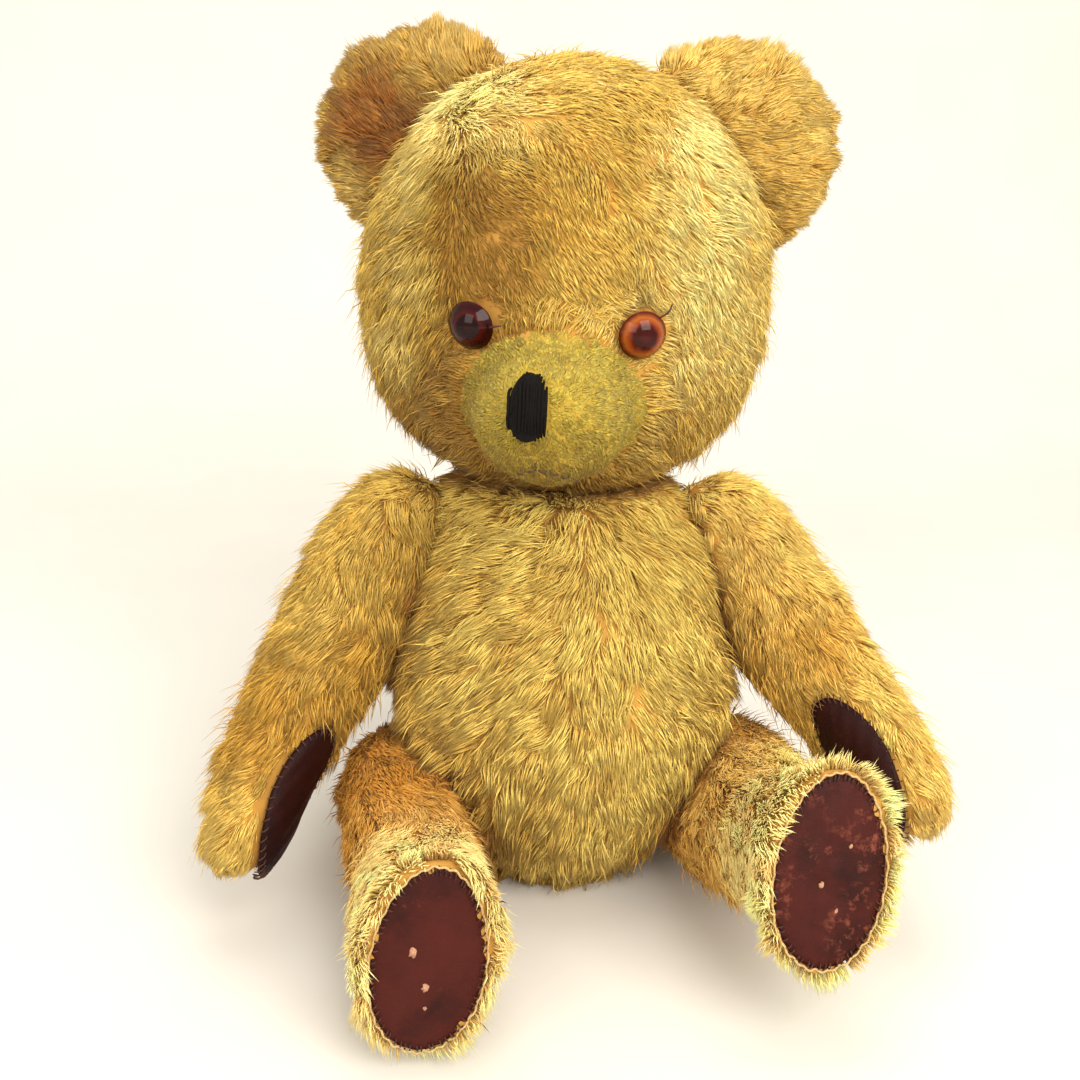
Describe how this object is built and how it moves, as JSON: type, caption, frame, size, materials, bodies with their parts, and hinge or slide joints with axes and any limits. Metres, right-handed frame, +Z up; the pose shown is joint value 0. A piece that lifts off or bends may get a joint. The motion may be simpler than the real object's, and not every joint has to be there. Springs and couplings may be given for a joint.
{
  "type": "jointed teddy bear",
  "caption": "Sitting jointed teddy bear in gold plush, with a turning head, arms and legs on disc joints, plastic eyes and dark paw and sole pads.",
  "frame": {"origin": "middle of the flat of the seat, on the floor", "axes": "+Z up, the bear faces -Y, the bear's own left is +X"},
  "size_m": [0.2693, 0.2438, 0.317],
  "materials": {
    "plush": "long straw-gold pile",
    "ear_plush": "long straw-gold pile",
    "muzzle_plush": "cropped gold pile",
    "leathercloth": "dark maroon leathercloth, worn",
    "stuffing": "packed fibre",
    "card": "plain card",
    "steel": "bright wire and pressed steel",
    "hardboard": "hardboard",
    "pupil_black": "gloss",
    "lock_plastic": "moulded",
    "eye_amber": "clear amber plastic",
    "eye_dark_amber": "clear dark red-brown plastic",
    "black_thread": "satin stitch",
    "mouth_thread": "worn thread",
    "seam_thread": "thread"
  },
  "bodies": {
    "torso": {"torso_front_left": "plush", "torso_front_right": "plush", "torso_back_left": "plush", "torso_back_right": "plush", "torso_stuffing": "stuffing", "back_seam_stitching": "seam_thread", "neck_torso_disc": "hardboard", "torso_joint_washers": "steel", "shoulder_disc_torso_left": "hardboard", "shoulder_disc_torso_right": "hardboard", "hip_disc_torso_left": "hardboard", "hip_disc_torso_right": "hardboard"},
    "head": {"head_side_left": "plush", "head_side_right": "plush", "head_gusset": "plush", "muzzle": "muzzle_plush", "head_stuffing": "stuffing", "ear_left_front": "ear_plush", "ear_left_back": "ear_plush", "ear_right_front": "ear_plush", "ear_right_back": "ear_plush", "eye_left": "eye_amber", "eye_right": "eye_dark_amber", "eye_pupils": "pupil_black", "eye_lock_washers": "lock_plastic", "nose_stitching": "black_thread", "mouth_stitching": "mouth_thread", "neck_head_disc": "hardboard", "neck_pin": "steel", "neck_head_washer": "steel"},
    "arm_left": {"arm_left_outer": "plush", "arm_left_inner": "plush", "paw_pad_left": "leathercloth", "arm_left_stuffing": "stuffing", "arm_disc_left": "hardboard", "shoulder_pin_left": "steel", "arm_washer_left": "steel"},
    "leg_left": {"leg_left_outer": "plush", "leg_left_inner": "plush", "sole_pad_left": "leathercloth", "insole_left": "card", "leg_left_stuffing": "stuffing", "leg_disc_left": "hardboard", "hip_pin_left": "steel", "leg_washer_left": "steel"},
    "arm_right": {"arm_right_outer": "plush", "arm_right_inner": "plush", "paw_pad_right": "leathercloth", "arm_right_stuffing": "stuffing", "arm_disc_right": "hardboard", "shoulder_pin_right": "steel", "arm_washer_right": "steel"},
    "leg_right": {"leg_right_outer": "plush", "leg_right_inner": "plush", "sole_pad_right": "leathercloth", "insole_right": "card", "leg_right_stuffing": "stuffing", "leg_disc_right": "hardboard", "hip_pin_right": "steel", "leg_washer_right": "steel"}
  },
  "joints": [
    {"name": "neck_turn", "type": "hinge", "parent": "torso", "child": "head", "pos_m": [0, 0.06856, 0.14744], "axis": [0, 0, 1], "continuous": true},
    {"name": "shoulder_left", "type": "hinge", "parent": "torso", "child": "arm_left", "pos_m": [0.054, 0.04275, 0.11746], "axis": [-0.9703, -0.0827, -0.2273], "range_deg": [-133, 90]},
    {"name": "shoulder_right", "type": "hinge", "parent": "torso", "child": "arm_right", "pos_m": [-0.054, 0.04275, 0.11746], "axis": [-0.9703, 0.0827, 0.2273], "range_deg": [-120, 103]},
    {"name": "hip_left", "type": "hinge", "parent": "torso", "child": "leg_left", "pos_m": [0.046, 0.01385, 0.03806], "axis": [0.891, -0.1553, -0.4266], "range_deg": [-2, 76]},
    {"name": "hip_right", "type": "hinge", "parent": "torso", "child": "leg_right", "pos_m": [-0.046, 0.01385, 0.03806], "axis": [0.891, 0.1553, 0.4266], "range_deg": [-8, 60]}
  ]
}
